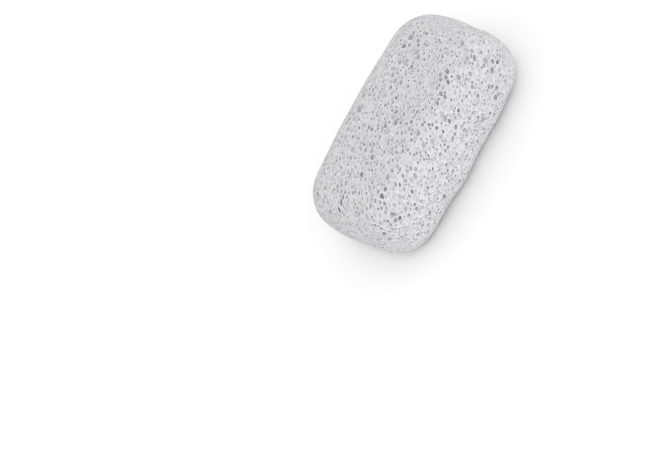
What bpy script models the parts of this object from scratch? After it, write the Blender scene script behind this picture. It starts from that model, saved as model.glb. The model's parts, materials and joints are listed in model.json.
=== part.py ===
"""Pumice stone for smoothing skin: one solid of light grey foamed stone, shaped like a soap bar.

The stone lies on a broad face. X is its length, Y its width and Z its thickness, and the origin
is under its middle, on the flat patch that it rests on. Sizes are in metres.
"""

import math

import bmesh
import bpy
from mathutils import Vector, noise

# Driving dimensions of the finished stone
LENGTH = 0.092
WIDTH = 0.0553
THICKNESS = 0.0311

# Rounding
CORNER_RADIUS = 0.0155  # of the four upright corners, seen from above
EDGE_RADIUS = 0.0115  # of the edges between the broad faces and the sides

# Each face swells a little in its middle
BROAD_SWELL = 0.0008
SIDE_SWELL = 0.0005
END_SWELL = 0.0008

# Slow waves of the hand-ground surface
WAVE_HEIGHT = 0.00035
WAVE_LENGTH = 0.022

# Places that stand proud, or lie low below zero: the place from the middle, its reach and its height
UNEVEN_PLACES = (
    (Vector((0.012, 0.024, 0.012)), 0.014, 0.0008),
    (Vector((-0.010, 0.024, 0.012)), 0.016, 0.0008),
    (Vector((0.002, -0.0235, -0.012)), 0.024, 0.00035),
    (Vector((0.020, -0.0235, -0.012)), 0.009, 0.0009),
    (Vector((-0.008, -0.0235, -0.012)), 0.009, 0.0011),
    (Vector((0.045, -0.011, 0.007)), 0.0075, -0.0009),
    (Vector((0.045, 0.006, 0.007)), 0.009, 0.0004),
)

# How much is worn off underneath, which leaves the flat patch
REST_DEPTH = 0.0005

# Cells of the grid along the length, the width and the thickness
CELLS_LENGTH = 22
CELLS_WIDTH = 14
CELLS_THICKNESS = 10

STONE_COLOUR = (0.60, 0.60, 0.61, 1.0)
STONE_ROUGHNESS = 0.92


def clear_scene():
    """Removes every object that the file holds."""
    for leftover in list(bpy.data.objects):
        bpy.data.objects.remove(leftover, do_unlink=True)


def stone_material():
    """A dry, matt light grey."""
    material = bpy.data.materials.new("pumice")
    material.use_nodes = True
    shader = material.node_tree.nodes["Principled BSDF"]
    shader.inputs["Base Color"].default_value = STONE_COLOUR
    shader.inputs["Roughness"].default_value = STONE_ROUGHNESS
    shader.inputs["Metallic"].default_value = 0.0
    return material


def gridded_cube():
    """A cube from -1 to 1 whose faces are divided into the grid's cells."""
    bm = bmesh.new()
    bmesh.ops.create_cube(bm, size=2.0)
    for axis, cells in enumerate((CELLS_LENGTH, CELLS_WIDTH, CELLS_THICKNESS)):
        along = [edge for edge in bm.edges if runs_along(edge, axis)]
        bmesh.ops.subdivide_edges(bm, edges=along, cuts=cells - 1, use_grid_fill=True)
    return bm


def runs_along(edge, axis):
    """True if the edge's ends differ along this axis only."""
    step = edge.verts[1].co - edge.verts[0].co
    return abs(step[axis]) > 0.999 * step.length


def towards_ends(share):
    """Moves a share of a half length, -1 to 1, outwards, so that cells are shorter at the ends."""
    return 0.5 * (share + math.sin(0.5 * math.pi * share))


def nearest_in_core(point, half, corner):
    """The point of the core, an upright prism with round corners, that is nearest to a point."""
    straight_x = half.x - corner
    straight_y = half.y - corner
    x = max(-straight_x, min(straight_x, point.x))
    y = max(-straight_y, min(straight_y, point.y))
    z = max(-half.z, min(half.z, point.z))
    out = Vector((point.x - x, point.y - y))
    if out.length > corner:
        out = out.normalized() * corner
    return Vector((x + out.x, y + out.y, z))


def rounded(point):
    """Carries a point of the box's surface onto the box with round corners and round edges."""
    half = Vector((LENGTH / 2, WIDTH / 2, THICKNESS / 2)) - Vector((EDGE_RADIUS,) * 3)
    nearest = nearest_in_core(point, half, CORNER_RADIUS - EDGE_RADIUS)
    return nearest + (point - nearest).normalized() * EDGE_RADIUS


def swell(point):
    """How far each face is pushed out, most in its middle and not at all at its edges."""
    across = Vector((
        1.0 - (2.0 * point.x / LENGTH) ** 2,
        1.0 - (2.0 * point.y / WIDTH) ** 2,
        1.0 - (2.0 * point.z / THICKNESS) ** 2,
    ))
    return Vector((
        2.0 * point.x / LENGTH * END_SWELL * across.y * across.z,
        2.0 * point.y / WIDTH * SIDE_SWELL * across.x * across.z,
        2.0 * point.z / THICKNESS * BROAD_SWELL * across.x * across.y,
    ))


def unevenness(point):
    """The slow waves of the whole surface and its uneven places, along the line from the middle."""
    height = WAVE_HEIGHT * noise.noise(point / WAVE_LENGTH)
    for place, reach, proud in UNEVEN_PLACES:
        away = (point - place).length / reach
        height += proud * math.exp(-away * away)
    return point.normalized() * height


def fit_to_size(bm):
    """Scales the finished form to the driving dimensions and stands it on the origin."""
    for axis, size in enumerate((LENGTH, WIDTH, THICKNESS)):
        low = min(vert.co[axis] for vert in bm.verts)
        high = max(vert.co[axis] for vert in bm.verts)
        start = 0.0 if axis == 2 else -size / 2
        for vert in bm.verts:
            vert.co[axis] = start + (vert.co[axis] - low) * size / (high - low)


def wear_flat(bm):
    """Grinds the lowest part of the underside to one plane."""
    level = min(vert.co.z for vert in bm.verts) + REST_DEPTH
    for vert in bm.verts:
        vert.co.z = max(level, vert.co.z)


def build_stone(collection):
    """The stone, as one closed mesh."""
    bm = gridded_cube()
    half = Vector((LENGTH / 2, WIDTH / 2, THICKNESS / 2))
    for vert in bm.verts:
        flat = Vector([towards_ends(share) * size for share, size in zip(vert.co, half)])
        vert.co = rounded(flat)
        vert.co += swell(vert.co)
        vert.co += unevenness(vert.co)
    wear_flat(bm)
    fit_to_size(bm)
    bmesh.ops.recalc_face_normals(bm, faces=bm.faces)
    mesh = bpy.data.meshes.new("pumice_stone")
    bm.to_mesh(mesh)
    bm.free()
    mesh.materials.append(stone_material())
    mesh.shade_smooth()
    stone = bpy.data.objects.new("pumice_stone", mesh)
    collection.objects.link(stone)
    return stone


def main():
    """Builds the stone in its own collection."""
    clear_scene()
    collection = bpy.data.collections.new("pumice_stone")
    bpy.context.scene.collection.children.link(collection)
    build_stone(collection)


main()
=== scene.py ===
"""Builds the looks of a pumice stone: light grey foamed stone, ground to the shape of a soap bar.

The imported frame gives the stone's place and size. A rounded block is modelled to that size, its
faces are ground slightly uneven, and thousands of bubbles of three sizes are cut out of its skin.
The studio is a pale floor under soft light. Sizes are in metres.
"""

import json
import logging
import math
from collections.abc import Callable, Iterator
from dataclasses import dataclass, field
from enum import Enum

import bpy
import numpy as np
from mathutils import Euler, Matrix, Vector, noise
from mathutils.bvhtree import BVHTree

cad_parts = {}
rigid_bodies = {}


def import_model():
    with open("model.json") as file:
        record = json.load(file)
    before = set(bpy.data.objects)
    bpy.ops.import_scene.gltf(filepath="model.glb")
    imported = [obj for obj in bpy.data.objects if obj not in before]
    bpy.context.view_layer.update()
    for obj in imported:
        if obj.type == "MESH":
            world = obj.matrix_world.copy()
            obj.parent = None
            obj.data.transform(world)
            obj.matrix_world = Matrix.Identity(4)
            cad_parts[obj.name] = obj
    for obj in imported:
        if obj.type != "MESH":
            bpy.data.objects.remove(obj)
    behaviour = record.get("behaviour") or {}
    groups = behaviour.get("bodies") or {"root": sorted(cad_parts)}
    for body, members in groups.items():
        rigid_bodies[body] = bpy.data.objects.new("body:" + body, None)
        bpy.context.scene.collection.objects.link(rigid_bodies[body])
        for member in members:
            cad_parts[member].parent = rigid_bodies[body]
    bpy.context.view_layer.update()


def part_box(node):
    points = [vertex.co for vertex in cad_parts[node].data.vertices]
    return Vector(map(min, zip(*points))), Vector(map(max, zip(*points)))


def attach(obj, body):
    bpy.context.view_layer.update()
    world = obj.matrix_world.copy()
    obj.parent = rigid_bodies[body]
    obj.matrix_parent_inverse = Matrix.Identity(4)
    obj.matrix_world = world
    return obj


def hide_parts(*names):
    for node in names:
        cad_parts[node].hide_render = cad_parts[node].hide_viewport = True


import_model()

NODE = "pumice_stone"
DEPTH = "depth"  # the attribute that holds how far a point lies under the ground surface
MM = 0.001
LEVEL_WITHIN = 0.01 * MM  # the most by which the ends of a level edge differ in height

log = logging.getLogger("pumice_stone")


# ---------------------------------------------------------------------------------------------
# Small helpers for Blender's operators
# ---------------------------------------------------------------------------------------------


def take(piece: bpy.types.Object) -> None:
    """Makes a piece the active object and the only one selected.

    Args:
        piece: the object that the next operators act on.
    """
    bpy.ops.object.select_all(action="DESELECT")
    piece.select_set(True)
    bpy.context.view_layer.objects.active = piece


def apply_modifier(piece: bpy.types.Object, kind: str, **settings: object) -> None:
    """Adds a modifier to a piece and applies it at once.

    Args:
        piece: the object to change.
        kind: Blender's name for the modifier's type.
        settings: the modifier's own settings.
    """
    take(piece)
    modifier = piece.modifiers.new(kind.lower(), kind)
    for setting, value in settings.items():
        setattr(modifier, setting, value)
    bpy.ops.object.modifier_apply(modifier=modifier.name)


def select_edges(piece: bpy.types.Object, wanted: Callable[[Vector, Vector], bool]) -> None:
    """Selects the edges of a piece whose two ends pass a test, and opens it in edit mode.

    Args:
        piece: the object whose edges are selected.
        wanted: takes an edge's two ends and says whether the edge is wanted.
    """
    take(piece)
    bpy.ops.object.mode_set(mode="EDIT")
    bpy.ops.mesh.select_mode(type="EDGE")
    bpy.ops.mesh.select_all(action="DESELECT")
    bpy.ops.object.mode_set(mode="OBJECT")
    points = [vert.co.copy() for vert in piece.data.vertices]
    for edge in piece.data.edges:
        edge.select = wanted(points[edge.vertices[0]], points[edge.vertices[1]])
    bpy.ops.object.mode_set(mode="EDIT")


def is_level(one: Vector, other: Vector) -> bool:
    """Says whether the edge between two points is level."""
    return abs(one.z - other.z) < LEVEL_WITHIN


def is_upright(one: Vector, other: Vector) -> bool:
    """Says whether the edge between two points isn't level."""
    return not is_level(one, other)


def read_points(mesh: bpy.types.Mesh) -> np.ndarray:
    """Reads the places of a mesh's vertices.

    Args:
        mesh: the mesh to read.

    Returns:
        An array with a row for each vertex.
    """
    points = np.empty(len(mesh.vertices) * 3)
    mesh.vertices.foreach_get("co", points)
    return points.reshape(-1, 3)


def write_points(mesh: bpy.types.Mesh, points: np.ndarray) -> None:
    """Moves a mesh's vertices to the rows of an array."""
    mesh.vertices.foreach_set("co", points.ravel())
    mesh.update()


def count_triangles(mesh: bpy.types.Mesh) -> int:
    """Gives how many triangles a mesh has once its faces are cut into them."""
    mesh.calc_loop_triangles()
    return len(mesh.loop_triangles)


# ---------------------------------------------------------------------------------------------
# The ground block
# ---------------------------------------------------------------------------------------------


@dataclass(frozen=True)
class Swelling:
    """A place where the block stands a little proud, or lies a little low, of its even form."""

    place: tuple[float, float, float]  # on the surface, from the block's middle, in mm
    reach: float  # how far it spreads, in mm
    height: float  # outwards, or inwards below zero, in mm


HAND_GROUND = (
    Swelling((12.0, 24.0, 12.0), 14.0, 0.8),
    Swelling((-10.0, 24.0, 12.0), 16.0, 0.8),
    Swelling((2.0, -23.5, -12.0), 24.0, 0.35),
    Swelling((20.0, -23.5, -12.0), 9.0, 0.9),
    Swelling((-8.0, -23.5, -12.0), 9.0, 1.1),
    Swelling((45.0, -11.0, 7.0), 7.5, -0.9),
    Swelling((45.0, 6.0, 7.0), 9.0, 0.4),
)


@dataclass
class StoneBlock:
    """The block of foamed stone as it is ground to shape, before its bubbles are opened."""

    low: Vector
    high: Vector
    corner_radius: float = 15.5 * MM
    edge_radius: float = 11.5 * MM
    round_steps: int = 9
    cell: float = 1.5 * MM  # of the even mesh that the bubbles are cut from
    smoothing: float = 0.5
    smooth_rounds: int = 3
    broad_swell: float = 0.8 * MM
    side_swell: float = 0.5 * MM
    end_swell: float = 0.8 * MM
    wave_height: float = 0.35 * MM
    wave_length: float = 22.0 * MM
    rest_depth: float = 0.5 * MM
    swellings: tuple[Swelling, ...] = HAND_GROUND

    @property
    def size(self) -> Vector:
        """The block's length, width and thickness."""
        return self.high - self.low

    @property
    def middle(self) -> Vector:
        """The point half way between the block's lowest and highest corners."""
        return (self.low + self.high) / 2

    def build(self) -> bpy.types.Object:
        """Models the block.

        Returns:
            The block as one closed mesh of small even cells.
        """
        block = self._rounded_box()
        apply_modifier(block, "REMESH", mode="VOXEL", voxel_size=self.cell)
        apply_modifier(block, "SMOOTH", factor=self.smoothing, iterations=self.smooth_rounds)
        self._grind(block)
        log.info("block: %d triangles", count_triangles(block.data))
        return block

    def _rounded_box(self) -> bpy.types.Object:
        """Makes a box and rounds its upright corners and then the rims of its broad faces.

        Returns:
            The rounded box, in its place.
        """
        bpy.ops.object.select_all(action="DESELECT")
        bpy.ops.mesh.primitive_cube_add(size=1.0, location=self.middle)
        block = bpy.context.object
        block.name = "foamed_stone"
        block.scale = self.size
        bpy.ops.object.transform_apply(location=True, rotation=True, scale=True)
        for wanted, radius in ((is_upright, self.corner_radius), (is_level, self.edge_radius)):
            select_edges(block, wanted)
            bpy.ops.mesh.bevel(offset=radius, segments=self.round_steps, affect="EDGES")
            bpy.ops.object.mode_set(mode="OBJECT")
        return block

    def _grind(self, block: bpy.types.Object) -> None:
        """Gives the faces their swell, the hand-ground unevenness and the flat place underneath.

        Args:
            block: the rounded block, whose points are moved.
        """
        points = read_points(block.data) - np.array(self.middle)
        share = 2.0 * points / np.array(self.size)
        fall = 1.0 - share**2
        points[:, 0] += self.end_swell * share[:, 0] * fall[:, 1] * fall[:, 2]
        points[:, 1] += self.side_swell * share[:, 1] * fall[:, 0] * fall[:, 2]
        points[:, 2] += self.broad_swell * share[:, 2] * fall[:, 0] * fall[:, 1]
        outward = points / np.linalg.norm(points, axis=1, keepdims=True)
        lift = np.array([noise.noise(Vector(point) / self.wave_length) for point in points])
        lift *= self.wave_height
        for swelling in self.swellings:
            apart = points / MM - np.array(swelling.place)
            away = np.linalg.norm(apart, axis=1) / swelling.reach
            lift += swelling.height * MM * np.exp(-(away**2))
        points += outward * lift[:, None]
        level = points[:, 2].min() + self.rest_depth
        points[:, 2] = np.maximum(points[:, 2], level)
        write_points(block.data, self._fitted(points))

    def _fitted(self, points: np.ndarray) -> np.ndarray:
        """Makes points fill the block's box together.

        Args:
            points: the points, about any middle.

        Returns:
            The points, scaled and put in the box.
        """
        low = points.min(axis=0)
        high = points.max(axis=0)
        return np.array(self.low) + (points - low) * np.array(self.size) / (high - low)


# ---------------------------------------------------------------------------------------------
# The bubbles
# ---------------------------------------------------------------------------------------------


@dataclass(frozen=True)
class Grain:
    """The direction in which the foam rose, along which all its bubbles are drawn out."""

    along: tuple[float, float, float] = (0.73, 0.64, 0.25)
    drawn: float = 1.6  # how long a bubble is beside its width

    def stretch(self) -> np.ndarray:
        """Works out how round bubbles are drawn out.

        Returns:
            The matrix that draws them out and keeps how much they hold.
        """
        axis = np.array(self.along) / np.linalg.norm(self.along)
        line = np.outer(axis, axis)
        return self.drawn ** (2 / 3) * line + self.drawn ** (-1 / 3) * (np.eye(3) - line)


@dataclass(frozen=True)
class BubbleRange:
    """What the bubbles of one size have in common."""

    wanted: int  # how many are placed at most
    tries: int  # how many places are tried
    least_radius: float
    most_radius: float
    shallowest: float  # a centre's least depth under the surface, as a share of its radius
    facets: int  # how often the mould's faces are divided


class BubbleSize(Enum):
    """The three sizes of bubble that the stone is foamed with."""

    LARGE = BubbleRange(150, 8000, 1.0 * MM, 1.35 * MM, -0.1, 3)
    MEDIUM = BubbleRange(3000, 60000, 0.72 * MM, 1.02 * MM, -0.7, 2)
    SMALL = BubbleRange(4000, 90000, 0.54 * MM, 0.72 * MM, -0.7, 2)


@dataclass(frozen=True)
class Bubble:
    """One bubble of the foam that the ground surface cuts through, before it is drawn out."""

    centre: Vector
    radius: float
    size: BubbleSize


class BubbleGrid:
    """Finds the bubbles near a point, by cubes wider than two large bubbles' centres are apart."""

    def __init__(self, cell: float) -> None:
        """Starts an empty grid whose cells are cubes of this width."""
        self.cell = cell
        self.cells: dict[tuple[int, int, int], list[Bubble]] = {}

    def _home(self, point: Vector) -> tuple[int, int, int]:
        """Gives the cell that holds a point."""
        return tuple(math.floor(along / self.cell) for along in point)

    def add(self, bubble: Bubble) -> None:
        """Puts a bubble in its cell."""
        self.cells.setdefault(self._home(bubble.centre), []).append(bubble)

    def near(self, point: Vector) -> Iterator[Bubble]:
        """Finds the bubbles in the cell of a point and in the cells around it.

        Args:
            point: the point, before the foam is drawn out.

        Yields:
            Each bubble in those cells.
        """
        x, y, z = self._home(point)
        for i in (x - 1, x, x + 1):
            for j in (y - 1, y, y + 1):
                for k in (z - 1, z, z + 1):
                    yield from self.cells.get((i, j, k), ())

    def has_room(self, bubble: Bubble, share: float) -> bool:
        """Says whether a bubble stays clear of the others.

        Args:
            bubble: the bubble to place.
            share: the least distance between two centres, as a share of their radii together.

        Returns:
            True if no bubble in the grid is nearer than that.
        """
        return all(
            (bubble.centre - other.centre).length > share * (bubble.radius + other.radius)
            for other in self.near(bubble.centre)
        )


@dataclass(frozen=True)
class Mould:
    """A slightly uneven ball of radius 1 that bubbles are shaped on."""

    points: np.ndarray
    faces: np.ndarray
    around: np.ndarray  # row by row, the share that each point has in a point's surroundings


@dataclass
class Foam:
    """The bubbles in the skin of a block, packed side by side with thin flat walls between."""

    seed: int = 20251
    grain: Grain = field(default_factory=Grain)
    closest: float = 0.72  # the least distance of two centres, as a share of their radii together
    farthest: float = 1.3  # the share up to which two bubbles may need a wall between them
    wall: float = 0.14 * MM
    deepest: float = 0.5  # a centre's most depth under the surface, as a share of its radius
    shallow_bias: float = 1.25  # above 1, shallow bubbles are more common than deep ones
    small_bias: float = 1.5  # above 1, small radii are more common than large ones in a size
    patch_length: float = 15.0 * MM  # how far apart the coarse and fine patches of the foam lie
    patch_change: float = 0.2  # how much larger a bubble of a coarse patch is than of a fine one
    coarsest_share: float = 0.6  # the large bubbles are in the coarsest places of this share
    moulds: int = 5  # different shapes of each size
    dent: float = 0.14  # the height of the noise that dents a mould, as a share of its radius
    dent_places: float = 100.0  # how far from the origin that noise is read at most
    stretch: tuple[float, float] = (0.88, 1.2)  # least and most, along each of a mould's axes
    grazing: float = 0.001  # the least slope towards a wall for which its distance is worked out
    most_triangles: int = 198_000
    weld: float = 0.002 * MM  # points nearer to each other than this are merged
    mend_rounds: int = 6

    def open_bubbles(self, block: bpy.types.Object) -> None:
        """Cuts the bubbles out of a block, and leaves one closed piece.

        Args:
            block: the ground block, whose mesh is changed.
        """
        rng = np.random.default_rng(self.seed)
        bubbles, grid = self._pack(block.data, rng)
        cutter = self._blow(bubbles, grid, rng)
        apply_modifier(block, "BOOLEAN", operation="DIFFERENCE", solver="MANIFOLD", object=cutter)
        bpy.data.objects.remove(cutter)
        log.info("%d bubbles cut: %d triangles", len(bubbles), count_triangles(block.data))
        self._drop_chips(block)
        self._thin(block)

    def _pack(
        self, mesh: bpy.types.Mesh, rng: np.random.Generator
    ) -> tuple[list[Bubble], BubbleGrid]:
        """Places the bubbles, the largest first.

        Args:
            mesh: the block's mesh.
            rng: the source of random numbers.

        Returns:
            The bubbles that found room, and the grid that holds them.
        """
        packed: list[Bubble] = []
        grid = BubbleGrid(2.0 * self.farthest * BubbleSize.LARGE.value.most_radius)
        undraw = np.linalg.inv(self.grain.stretch())
        for size in BubbleSize:
            group = size.value
            places, outward = self._scatter(mesh, group.tries, rng)
            spread = rng.random(group.tries) ** self.small_bias
            radii = group.least_radius + (group.most_radius - group.least_radius) * spread
            coarseness = np.array([noise.noise(Vector(place) / self.patch_length) for place in places])
            radii *= 1.0 + self.patch_change * coarseness
            if size is BubbleSize.LARGE:
                coarse = coarseness > np.quantile(coarseness, 1.0 - self.coarsest_share)
                places, outward, radii = places[coarse], outward[coarse], radii[coarse]
            sinks = rng.random(len(radii)) ** self.shallow_bias
            depths = (group.shallowest + (self.deepest - group.shallowest) * sinks) * radii
            centres = (places - outward * depths[:, None]) @ undraw
            placed = 0
            for centre, radius in zip(centres, radii):
                bubble = Bubble(Vector(centre), float(radius), size)
                if grid.has_room(bubble, self.closest):
                    grid.add(bubble)
                    packed.append(bubble)
                    placed += 1
                if placed == group.wanted:
                    break
            log.info("%s bubbles: %d", size.name.lower(), placed)
        return packed, grid

    @staticmethod
    def _scatter(
        mesh: bpy.types.Mesh, count: int, rng: np.random.Generator
    ) -> tuple[np.ndarray, np.ndarray]:
        """Picks places evenly over a mesh's surface.

        Args:
            mesh: the mesh to pick from.
            count: how many places.
            rng: the source of random numbers.

        Returns:
            The places, and the outward direction at each.
        """
        mesh.calc_loop_triangles()
        points = read_points(mesh)
        outward = np.empty(len(mesh.vertices) * 3)
        mesh.vertices.foreach_get("normal", outward)
        outward = outward.reshape(-1, 3)
        corners = np.empty(len(mesh.loop_triangles) * 3, dtype=np.int32)
        mesh.loop_triangles.foreach_get("vertices", corners)
        corners = corners.reshape(-1, 3)
        a, b, c = (points[corners[:, i]] for i in range(3))
        area = np.linalg.norm(np.cross(b - a, c - a), axis=1)
        picked = corners[rng.choice(len(corners), count, p=area / area.sum())]
        root = np.sqrt(rng.random(count))
        slide = rng.random(count)
        weights = np.stack([1.0 - root, root * (1.0 - slide), root * slide], axis=1)
        places = np.einsum("nk,nkx->nx", weights, points[picked])
        normals = np.einsum("nk,nkx->nx", weights, outward[picked])
        return places, normals / np.linalg.norm(normals, axis=1, keepdims=True)

    def _make_moulds(self, size: BubbleSize, rng: np.random.Generator) -> list[Mould]:
        """Models the slightly uneven balls that bubbles of one size are shaped on.

        Args:
            size: the bubbles' size.
            rng: the source of random numbers.

        Returns:
            The moulds.
        """
        moulds = []
        for _ in range(self.moulds):
            bpy.ops.object.select_all(action="DESELECT")
            bpy.ops.mesh.primitive_ico_sphere_add(subdivisions=size.value.facets, radius=1.0)
            ball = bpy.context.object
            mesh = ball.data
            points = read_points(mesh)
            start = Vector(rng.uniform(0.0, self.dent_places, 3))
            dents = np.array([noise.noise(Vector(point) + start) for point in points])
            points *= 1.0 + self.dent * dents[:, None]
            faces = np.array([face.vertices[:] for face in mesh.polygons])
            around = np.eye(len(points))
            for edge in mesh.edges:
                one, other = edge.vertices
                around[one, other] = 1.0
                around[other, one] = 1.0
            moulds.append(Mould(points, faces, around / around.sum(axis=1, keepdims=True)))
            bpy.data.objects.remove(ball)
            bpy.data.meshes.remove(mesh)
        return moulds

    def _blow(
        self, bubbles: list[Bubble], grid: BubbleGrid, rng: np.random.Generator
    ) -> bpy.types.Object:
        """Makes one cutter of all the bubbles, none of which touches another.

        Args:
            bubbles: the bubbles.
            grid: the grid that holds them.
            rng: the source of random numbers.

        Returns:
            The cutter, one object.
        """
        moulds = {size: self._make_moulds(size, rng) for size in BubbleSize}
        points = []
        faces = []
        start = 0
        for bubble in bubbles:
            shapes = moulds[bubble.size]
            mould = shapes[rng.integers(len(shapes))]
            turn = np.array(Euler(rng.uniform(0.0, math.tau, 3)).to_matrix())
            scale = rng.uniform(*self.stretch, 3) * bubble.radius
            ball = (mould.points * scale) @ turn.T
            points.append(self._walled(bubble, ball, mould.around, grid))
            faces.append(mould.faces + start)
            start += len(ball)
        mesh = bpy.data.meshes.new("bubbles")
        drawn = np.concatenate(points) @ self.grain.stretch()
        mesh.from_pydata(drawn, [], np.concatenate(faces))
        cutter = bpy.data.objects.new("bubbles", mesh)
        bpy.context.scene.collection.objects.link(cutter)
        return cutter

    def _walled(
        self, bubble: Bubble, ball: np.ndarray, around: np.ndarray, grid: BubbleGrid
    ) -> np.ndarray:
        """Flattens a bubble against its neighbours, so that a thin wall stays between them.

        Args:
            bubble: the bubble.
            ball: the bubble's points about its own centre.
            around: the mould's table of surroundings, which rounds the corners between walls.
            grid: the grid that holds all the bubbles.

        Returns:
            The bubble's points, in place.
        """
        centre = np.array(bubble.centre)
        reach = np.linalg.norm(ball, axis=1)
        outward = ball / reach[:, None]
        toward = []
        offset = []
        for other in grid.near(bubble.centre):
            apart = np.array(other.centre) - centre
            distance = math.sqrt(apart @ apart)
            if 0.0 < distance < self.farthest * (bubble.radius + other.radius):
                toward.append(apart / distance)
                middle = distance * bubble.radius / (bubble.radius + other.radius)
                offset.append(middle - self.wall / 2)
        if toward:
            facing = outward @ np.array(toward).T
            limit = np.array(offset) / np.maximum(facing, self.grazing)
            nearest = limit.min(axis=1)
            reach = np.minimum(reach, nearest)
            reach = np.minimum(around @ reach, nearest)
        return centre + outward * reach[:, None]

    @staticmethod
    def _drop_chips(block: bpy.types.Object) -> None:
        """Removes the loose chips that neighbouring bubbles may cut free of the block.

        Args:
            block: the block with its bubbles cut.
        """
        take(block)
        points = read_points(block.data)
        bpy.ops.object.mode_set(mode="EDIT")
        bpy.ops.mesh.select_mode(type="VERT")
        bpy.ops.mesh.select_all(action="DESELECT")
        bpy.ops.object.mode_set(mode="OBJECT")
        block.data.vertices[int(points[:, 0].argmax())].select = True
        bpy.ops.object.mode_set(mode="EDIT")
        bpy.ops.mesh.select_linked()
        bpy.ops.mesh.select_all(action="INVERT")
        bpy.ops.mesh.delete(type="VERT")
        bpy.ops.object.mode_set(mode="OBJECT")

    def _thin(self, block: bpy.types.Object) -> None:
        """Merges the block's smallest faces until it has no more triangles than are allowed.

        Args:
            block: the block with its bubbles cut.
        """
        take(block)
        bpy.ops.object.mode_set(mode="EDIT")
        bpy.ops.mesh.select_all(action="SELECT")
        bpy.ops.mesh.quads_convert_to_tris(quad_method="BEAUTY", ngon_method="BEAUTY")
        bpy.ops.object.mode_set(mode="OBJECT")
        share = self.most_triangles / count_triangles(block.data)
        if share < 1.0:
            apply_modifier(block, "DECIMATE", ratio=share, use_collapse_triangulate=True)
        self._mend(block)
        log.info("stone: %d triangles", count_triangles(block.data))

    def _mend(self, block: bpy.types.Object) -> None:
        """Takes out the few points where merged walls touch, and closes the holes they leave.

        Args:
            block: the block with its bubbles cut.
        """
        for _ in range(self.mend_rounds):
            take(block)
            bpy.ops.object.mode_set(mode="EDIT")
            bpy.ops.mesh.select_mode(type="VERT")
            bpy.ops.mesh.select_all(action="SELECT")
            bpy.ops.mesh.remove_doubles(threshold=self.weld)
            bpy.ops.mesh.select_all(action="DESELECT")
            bpy.ops.mesh.select_non_manifold()
            faulty = block.data.total_vert_sel
            if faulty:
                bpy.ops.mesh.delete(type="VERT")
                bpy.ops.mesh.select_non_manifold(
                    use_wire=False, use_multi_face=False, use_non_contiguous=False, use_verts=False
                )
                bpy.ops.mesh.fill_holes(sides=0)
                bpy.ops.mesh.select_all(action="SELECT")
                bpy.ops.mesh.quads_convert_to_tris(quad_method="BEAUTY", ngon_method="BEAUTY")
            bpy.ops.object.mode_set(mode="OBJECT")
            if not faulty:
                break
            log.info("mended around %d points", faulty)


# ---------------------------------------------------------------------------------------------
# The finish
# ---------------------------------------------------------------------------------------------


class NodeSheet:
    """Adds nodes to one tree and joins them."""

    def __init__(self, tree: bpy.types.NodeTree) -> None:
        """Takes the tree to add to."""
        self.tree = tree

    def add(
        self, kind: str, inputs: dict[str | int, object] | None = None, **settings: object
    ) -> bpy.types.Node:
        """Adds a node.

        Args:
            kind: Blender's name for the node's type.
            inputs: for each input, an output to join it to or a value to hold.
            settings: the node's own settings.

        Returns:
            The new node.
        """
        node = self.tree.nodes.new(kind)
        for setting, value in settings.items():
            setattr(node, setting, value)
        for name, value in (inputs or {}).items():
            if isinstance(value, bpy.types.NodeSocket):
                self.tree.links.new(value, node.inputs[name])
            else:
                node.inputs[name].default_value = value
        return node

    def join(self, source: bpy.types.NodeSocket, target: bpy.types.NodeSocket) -> None:
        """Joins an output to an input."""
        self.tree.links.new(source, target)

    def blend(self, factor: object, first: object, second: object) -> bpy.types.NodeSocket:
        """Mixes two colours by a factor.

        Args:
            factor: how far the mix goes towards the second colour, a number or an output.
            first: three numbers, or an output.
            second: three numbers, or an output.

        Returns:
            The mixed colour's output.
        """
        colours = [(*each, 1.0) if isinstance(each, tuple) else each for each in (first, second)]
        inputs = {"Fac": factor, "Color1": colours[0], "Color2": colours[1]}
        return self.add("ShaderNodeMixRGB", inputs).outputs["Color"]

    def math(self, operation: str, *values: object) -> bpy.types.NodeSocket:
        """Adds a Math node on numbers or outputs, and gives its output."""
        node = self.add("ShaderNodeMath", dict(enumerate(values)), operation=operation)
        return node.outputs[0]

    def ease(
        self, value: object, span: tuple[float, float], onto: tuple[float, float] = (0.0, 1.0)
    ) -> bpy.types.NodeSocket:
        """Maps one range of values onto another, with a slope that starts and ends gently.

        Args:
            value: the output or number to map.
            span: the value's range.
            onto: what the ends of the range become.

        Returns:
            The mapped value's output.
        """
        ends = {"From Min": span[0], "From Max": span[1], "To Min": onto[0], "To Max": onto[1]}
        inputs = {"Value": value, **ends}
        node = self.add("ShaderNodeMapRange", inputs, interpolation_type="SMOOTHSTEP")
        return node.outputs["Result"]


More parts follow.
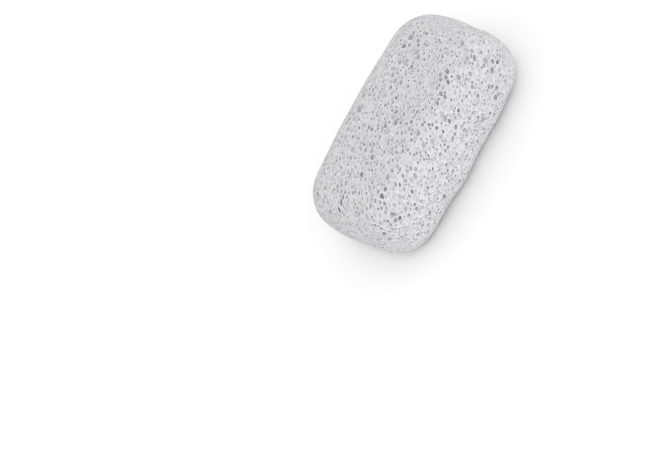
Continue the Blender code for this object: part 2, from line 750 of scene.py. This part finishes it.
@dataclass(frozen=True)
class FoamCells:
    """The foam that is too fine to model: cells with thin walls, some of them nearly closed, their
    hollows darkened with painted shade.
    """

    chances: tuple[float, float] = (0.1, 0.9)  # of a cell's own random number, 0 to 1
    opening: tuple[float, float] = (0.25, 1.0)  # how open a cell is at each of those chances, and so how deep its painted shade
    wall: tuple[float, float] = (0.02, 0.12)  # the edge of a wall's colour, in spacings
    slope: tuple[float, float] = (0.0, 0.35)  # from a wall's middle to a cell's floor, in spacings

    def group(self) -> bpy.types.NodeTree:
        """Makes the node group of the cells.

        Returns:
            The group. It takes a place and the spacing of the cells. It puts out a mask of painted
            shade, 0 on the walls and up to 1 in the cells, and Depth, which is rounder.
        """
        group = bpy.data.node_groups.new("foam_cells", "ShaderNodeTree")
        interface = group.interface
        interface.new_socket("Place", in_out="INPUT", socket_type="NodeSocketVector")
        spacing = interface.new_socket("Spacing", in_out="INPUT", socket_type="NodeSocketFloat")
        spacing.default_value = MM
        interface.new_socket("Shade", in_out="OUTPUT", socket_type="NodeSocketFloat")
        interface.new_socket("Depth", in_out="OUTPUT", socket_type="NodeSocketFloat")
        sheet = NodeSheet(group)
        given = sheet.add("NodeGroupInput").outputs
        scale = sheet.math("DIVIDE", 1.0, given["Spacing"])
        settings = {"Vector": given["Place"], "Scale": scale}
        cells = sheet.add("ShaderNodeTexVoronoi", settings, feature="F1")
        walls = sheet.add("ShaderNodeTexVoronoi", settings, feature="DISTANCE_TO_EDGE")
        chance = sheet.add("ShaderNodeSeparateColor", {"Color": cells.outputs["Color"]})
        openness = sheet.ease(chance.outputs["Red"], self.chances, self.opening)
        inside = sheet.ease(walls.outputs["Distance"], self.wall)
        bowl = sheet.ease(walls.outputs["Distance"], self.slope)
        painted_shade = sheet.math("MULTIPLY", openness, inside)
        depth = sheet.math("MULTIPLY", openness, bowl)
        sheet.add("NodeGroupOutput", {"Shade": painted_shade, "Depth": depth})
        return group


@dataclass(frozen=True)
class PumiceFinish:
    """Dry foamed stone: pale walls, painted shade in the hollows and in cells too small to model, and
    worn rims lightened by a painted highlight.
    """

    wall_colour: tuple[float, float, float] = (0.684, 0.679, 0.691)
    # painted shade: hollows are mixed towards this darker colour by their depth, cells by their mask;
    # the grey patches also mix towards it
    painted_shade_and_patch_colour: tuple[float, float, float] = (0.466, 0.463, 0.471)
    wall_to_painted_shade: tuple[float, float] = (0.02 * MM, 1.35 * MM)  # depths where the wall colour ends and where the painted shade is full
    # pale colour of worn rims and thin walls, partly a painted highlight
    worn_highlight_colour: tuple[float, float, float] = (0.82, 0.815, 0.825)
    worn_highlight_width: float = 0.4 * MM  # how wide the worn rims of the openings are, which are lightened partly as a painted highlight
    worn_highlight_share: float = 0.33  # how far a rim's colour goes towards the pale worn colour, partly a painted highlight
    rays: int = 8  # sent inwards, as far as that width, to look for a wall's other side
    rays_free: tuple[float, float] = (1.0, 0.3)  # the share that finds none, in solid stone and thin
    patch_size: float = 3.2 * MM
    patch_shade: float = 0.2  # how far a grey patch's colour goes towards the darker colour that the painted shade uses
    patch_edge: tuple[float, float] = (0.3, 0.7)  # a patch fades in between these noise values
    patch_detail: float = 2.0
    coarse_spacing: float = 1.45 * MM
    fine_spacing: float = 0.75 * MM
    fine_share: float = 0.7  # how strong the painted shade of the fine cells is beside the coarse ones
    fine_depth: float = 0.35  # how deep they are beside the coarse ones
    cell_shade: float = 0.6  # how far a cell's colour goes towards the darker colour, as painted shade
    relief: float = 0.12 * MM  # how deep the cells look
    roughness: float = 0.93
    gloss: float = 0.3
    grain: Grain = field(default_factory=Grain)
    cells: FoamCells = field(default_factory=FoamCells)

    def _undrawn(self, sheet: NodeSheet, place: bpy.types.NodeSocket) -> bpy.types.NodeSocket:
        """Makes places in which the drawn-out foam is round, so that fine cells follow its grain.

        Args:
            sheet: the material's nodes.
            place: the output of the place on the stone.

        Returns:
            The output of the place before the foam was drawn out.
        """
        length = self.grain.drawn ** (2 / 3)
        width = self.grain.drawn ** (-1 / 3)
        turn = Vector(self.grain.along).to_track_quat("X", "Z").to_euler()
        mapping = sheet.add(
            "ShaderNodeMapping",
            {"Vector": place, "Rotation": turn, "Scale": (length, width, width)},
            vector_type="TEXTURE",
        )
        return mapping.outputs["Vector"]

    def _patches(self, sheet: NodeSheet, place: bpy.types.NodeSocket) -> bpy.types.NodeSocket:
        """Makes the faint grey patches of the stone.

        Args:
            sheet: the material's nodes.
            place: the output of the place that the patches follow.

        Returns:
            The output of what the patches add to the shade.
        """
        inputs = {"Vector": place, "Scale": 1.0 / self.patch_size, "Detail": self.patch_detail}
        grey = sheet.add("ShaderNodeTexNoise", inputs).outputs["Fac"]
        return sheet.ease(grey, self.patch_edge, (0.0, self.patch_shade))

    def _worn_highlight(self, sheet: NodeSheet) -> bpy.types.NodeSocket:
        """Finds the rims and thin walls, where little stone lies behind the surface, to lighten them
        as worn stone with a painted highlight.

        Args:
            sheet: the material's nodes.

        Returns:
            The output of a mask that is highest on the sharpest rims and thinnest walls.
        """
        behind = sheet.add(
            "ShaderNodeAmbientOcclusion",
            {"Distance": self.worn_highlight_width},
            inside=True,
            only_local=True,
            samples=self.rays,
        )
        return sheet.ease(behind.outputs["AO"], self.rays_free, (0.0, self.worn_highlight_share))

    def material(self) -> bpy.types.Material:
        """Makes the stone's material.

        Returns:
            The material, which reads Object coordinates and the attribute called depth.
        """
        material = bpy.data.materials.new("dry_pumice")
        material.use_nodes = True
        sheet = NodeSheet(material.node_tree)
        shader = material.node_tree.nodes["Principled BSDF"]
        place = self._undrawn(sheet, sheet.add("ShaderNodeTexCoord").outputs["Object"])
        group = self.cells.group()
        coarse, fine = (
            sheet.add("ShaderNodeGroup", {"Place": place, "Spacing": spacing}, node_tree=group)
            for spacing in (self.coarse_spacing, self.fine_spacing)
        )
        # painted shade in the cells too small to model, taken with the painted shade of the bubbles
        fine_painted_shade = sheet.math("MULTIPLY", fine.outputs["Shade"], self.fine_share)
        cells = sheet.math("MAXIMUM", coarse.outputs["Shade"], fine_painted_shade)
        fine_depth = sheet.math("MULTIPLY", fine.outputs["Depth"], self.fine_depth)
        sunk = sheet.math("ADD", coarse.outputs["Depth"], fine_depth)
        depth = sheet.add("ShaderNodeAttribute", attribute_name=DEPTH).outputs["Fac"]
        # painted shade, darker the deeper a point lies under the ground surface
        painted_shade = sheet.ease(depth, self.wall_to_painted_shade)
        cell_shade = sheet.math("MAXIMUM", painted_shade, sheet.math("MULTIPLY", cells, self.cell_shade))
        shade = sheet.math("ADD", cell_shade, self._patches(sheet, place))
        stone_colour = sheet.blend(shade, self.wall_colour, self.painted_shade_and_patch_colour)
        # rims and thin walls lightened: worn stone, and partly a painted highlight
        colour = sheet.blend(self._worn_highlight(sheet), stone_colour, self.worn_highlight_colour)
        bump = sheet.add(
            "ShaderNodeBump",
            {"Height": sunk, "Distance": self.relief, "Strength": 1.0},
            invert=True,
        )
        sheet.join(colour, shader.inputs["Base Color"])
        sheet.join(bump.outputs["Normal"], shader.inputs["Normal"])
        shader.inputs["Roughness"].default_value = self.roughness
        shader.inputs["Specular IOR Level"].default_value = self.gloss
        return material


# ---------------------------------------------------------------------------------------------
# The stone
# ---------------------------------------------------------------------------------------------


@dataclass
class PumiceStone:
    """The whole stone: the block, its foam and its finish."""

    block: StoneBlock
    foam: Foam = field(default_factory=Foam)
    finish: PumiceFinish = field(default_factory=PumiceFinish)
    crease: float = math.radians(50.0)  # edges sharper than this stay sharp

    def build(self) -> bpy.types.Object:
        """Models the stone, dresses it and places it on the frame.

        Returns:
            The finished piece.
        """
        stone = self.block.build()
        ground = BVHTree.FromPolygons(
            [vert.co.copy() for vert in stone.data.vertices],
            [face.vertices[:] for face in stone.data.polygons],
        )
        self.foam.open_bubbles(stone)
        self._note_depth(stone, ground)
        self._dress(stone)
        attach(stone, "root")
        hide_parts(NODE)
        return stone

    @staticmethod
    def _note_depth(stone: bpy.types.Object, ground: BVHTree) -> None:
        """Stores at each point of the stone how far it lies under the ground surface.

        Args:
            stone: the stone with its bubbles open.
            ground: the surface before the bubbles were opened.
        """
        depths = [ground.find_nearest(vert.co)[3] for vert in stone.data.vertices]
        layer = stone.data.attributes.new(DEPTH, "FLOAT", "POINT")
        layer.data.foreach_set("value", depths)

    def _dress(self, stone: bpy.types.Object) -> None:
        """Shades the stone and gives it its material.

        Args:
            stone: the stone with its depths noted.
        """
        take(stone)
        bpy.ops.object.shade_smooth_by_angle(angle=self.crease)
        stone.data.materials.clear()
        stone.data.materials.append(self.finish.material())


# ---------------------------------------------------------------------------------------------
# The studio
# ---------------------------------------------------------------------------------------------


@dataclass(frozen=True)
class SoftLight:
    """A round soft light that faces the stone."""

    name: str
    toward: Vector  # the direction from the stone to the light
    away: float
    width: float
    power: float

    def hang(self, target: Vector) -> bpy.types.Object:
        """Hangs the light.

        Args:
            target: the point that it faces.

        Returns:
            The light's object.
        """
        data = bpy.data.lights.new(self.name, "AREA")
        data.shape = "DISK"
        data.size = self.width
        data.energy = self.power
        light = bpy.data.objects.new(self.name, data)
        bpy.context.scene.collection.objects.link(light)
        light.location = target + self.toward.normalized() * self.away
        light.rotation_euler = self.toward.to_track_quat("Z", "Y").to_euler()
        return light


@dataclass
class Studio:
    """A pale floor that reaches to the horizon, a plain pale sky and soft lights."""

    floor_width: float = 6.0
    floor_colour: tuple[float, float, float, float] = (0.94, 0.94, 0.94, 1.0)
    sky_at_horizon: float = 0.93  # as bright as the floor far away, so that no line shows
    sky_overhead: float = 1.02
    lights: tuple[SoftLight, ...] = (
        SoftLight("key", Vector((-0.2, -0.7, 0.88)), 1.2, 0.5, 2.2),
        SoftLight("fill", Vector((0.1, -1.0, 0.15)), 1.0, 0.45, 1.75),
    )

    def build(self, target: Vector) -> None:
        """Lays the floor, sets the sky and hangs the lights.

        Args:
            target: the point that the lights face.
        """
        bpy.ops.object.select_all(action="DESELECT")
        bpy.ops.mesh.primitive_plane_add(size=self.floor_width)
        floor = bpy.context.object
        floor.name = "floor"
        floor.data.materials.append(self._floor_material())
        bpy.context.scene.world = self._sky()
        bpy.context.scene.view_settings.view_transform = "Standard"
        for light in self.lights:
            light.hang(target)

    def _sky(self) -> bpy.types.World:
        """Makes the sky, white and a little brighter overhead than at the horizon.

        Returns:
            The world that holds the sky.
        """
        world = bpy.data.worlds.new("sky")
        world.use_nodes = True
        sheet = NodeSheet(world.node_tree)
        direction = sheet.add("ShaderNodeTexCoord").outputs["Generated"]
        height = sheet.add("ShaderNodeSeparateXYZ", {"Vector": direction}).outputs["Z"]
        strength = sheet.add(
            "ShaderNodeMapRange",
            {"Value": height, "To Min": self.sky_at_horizon, "To Max": self.sky_overhead},
        )
        background = world.node_tree.nodes["Background"]
        background.inputs["Color"].default_value = (1.0, 1.0, 1.0, 1.0)
        sheet.join(strength.outputs["Result"], background.inputs["Strength"])
        return world

    def _floor_material(self) -> bpy.types.Material:
        """Makes the matt white of the floor.

        Returns:
            The material.
        """
        material = bpy.data.materials.new("floor_white")
        material.use_nodes = True
        shader = material.node_tree.nodes["Principled BSDF"]
        shader.inputs["Base Color"].default_value = self.floor_colour
        shader.inputs["Roughness"].default_value = 1.0
        shader.inputs["Specular IOR Level"].default_value = 0.0
        return material


@dataclass(frozen=True)
class StoneCamera:
    """A long lens that looks down on the stone, turned so that the stone stands on a slant."""

    azimuth: float = math.radians(-9.5)  # of the camera, seen from the stone; 0 is -Y
    elevation: float = math.radians(42.0)
    roll: float = math.radians(-54.8)
    away: float = 0.8
    picture_width: int = 665
    picture_height: int = 474
    stone_x: float = 412.8  # where the stone's middle shows, in pixels from the left and the top
    stone_y: float = 131.7
    pixel: float = 0.378 * MM  # what a pixel covers at the stone

    def build(self, target: Vector) -> bpy.types.Object:
        """Sets the camera up and makes it the scene's.

        Args:
            target: the stone's middle.

        Returns:
            The camera.
        """
        back = Vector((
            math.sin(self.azimuth) * math.cos(self.elevation),
            -math.cos(self.azimuth) * math.cos(self.elevation),
            math.sin(self.elevation),
        ))
        level = back.to_track_quat("Z", "Y").to_matrix()
        turned = level @ Matrix.Rotation(self.roll, 3, "Z")
        right = turned.col[0]
        up = turned.col[1]
        aside = (self.stone_x - self.picture_width / 2) * self.pixel
        above = (self.picture_height / 2 - self.stone_y) * self.pixel
        data = bpy.data.cameras.new("camera")
        data.lens = data.sensor_width * self.away / (self.picture_width * self.pixel)
        data.clip_start = 0.01
        camera = bpy.data.objects.new("camera", data)
        bpy.context.scene.collection.objects.link(camera)
        place = target + back * self.away - right * aside - up * above
        camera.matrix_world = Matrix.Translation(place) @ turned.to_4x4()
        bpy.context.scene.camera = camera
        return camera


def main() -> None:
    """Builds the studio and the stone, and reports what was made."""
    logging.basicConfig(level=logging.INFO, format="%(name)s: %(message)s")
    low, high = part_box(NODE)
    block = StoneBlock(Vector(low), Vector(high))
    StoneCamera().build(block.middle)
    Studio().build(block.middle)
    stone = PumiceStone(block).build()
    log.info("%s: %.1f x %.1f x %.1f mm", stone.name, *(stone.dimensions / MM))


if __name__ == "__main__":
    main()
